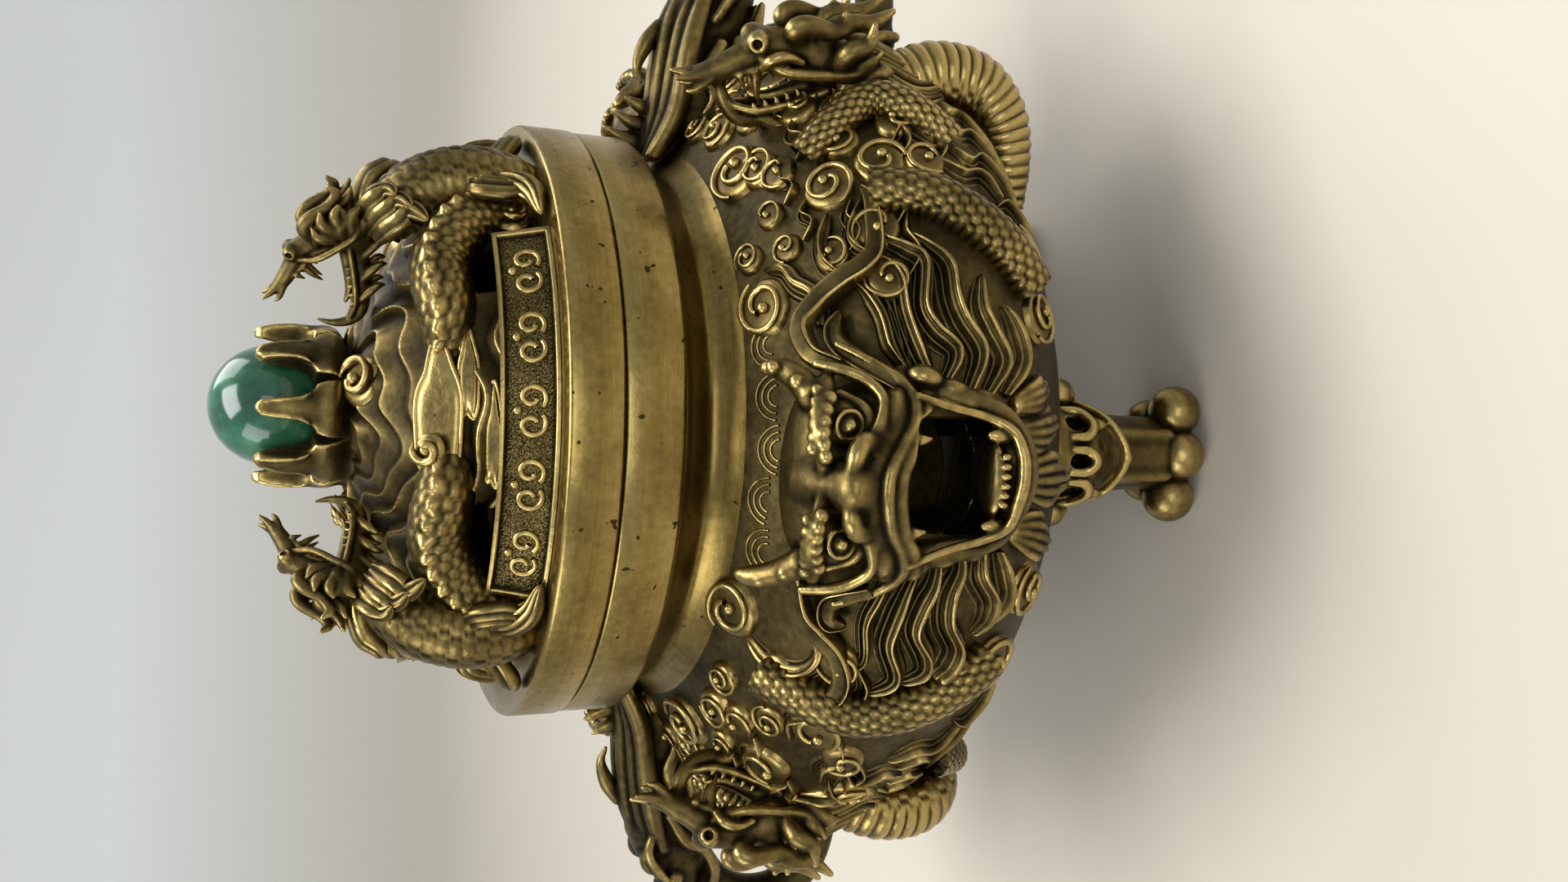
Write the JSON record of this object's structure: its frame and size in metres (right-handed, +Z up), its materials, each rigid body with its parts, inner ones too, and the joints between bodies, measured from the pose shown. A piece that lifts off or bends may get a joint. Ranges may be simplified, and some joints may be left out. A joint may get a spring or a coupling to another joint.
{
  "type": "incense burner",
  "caption": "Lidded tripod incense burner in cast brass with dragon relief, loop handles, a turning inner damper and a green stone pearl on the lid.",
  "frame": {"origin": "on the floor, at the burner's axis, which is the bottom centre of its box", "axes": "+Z up along the burner's axis; front mask and plaque towards -Y; the two loop handles along X"},
  "size_m": [0.344, 0.28, 0.288],
  "materials": {
    "cast_brass": "cast brass, dark brown in the recesses and rubbed bright on the raised edges",
    "plain_brass": "turned brass, satin",
    "dark_brass": "smoke-darkened sheet brass",
    "iron": "sooty cast iron",
    "green_stone": "polished opaque green stone with light and dark mottling"
  },
  "bodies": {
    "base": {"bowl": "cast_brass", "mask_front": "cast_brass", "mask_rear_right": "cast_brass", "mask_rear_left": "cast_brass", "side_dragon_right": "cast_brass", "side_dragon_rear": "cast_brass", "side_dragon_left": "cast_brass", "handle_right": "cast_brass", "handle_left": "cast_brass", "leg_front": "cast_brass", "leg_rear_right": "cast_brass", "leg_rear_left": "cast_brass", "leg_screws": "plain_brass", "dragon_screws": "plain_brass", "handle_screws": "plain_brass", "ash_dish": "iron"},
    "damper": {"damper_sleeve": "dark_brass"},
    "lid": {"lid": "cast_brass", "plaque": "cast_brass", "lid_dragon_right": "cast_brass", "lid_dragon_rear": "cast_brass", "lid_dragon_left": "cast_brass", "cloud_mound": "cast_brass", "claw_cup": "cast_brass", "finial_stud": "plain_brass", "finial_nut": "plain_brass"},
    "pearl": {"pearl": "green_stone"}
  },
  "joints": [
    {"name": "damper_turn", "type": "hinge", "parent": "base", "child": "damper", "pos_m": [0, 0, 0.188], "axis": [0, 0, 1], "continuous": true},
    {"name": "lid_lift", "type": "slide", "parent": "damper", "child": "lid", "axis": [0, 0, 1], "range_m": [0, 0.12]},
    {"name": "pearl_turn", "type": "hinge", "parent": "lid", "child": "pearl", "pos_m": [0.003, 0, 0.2705], "axis": [0, 0, 1], "continuous": true}
  ]
}
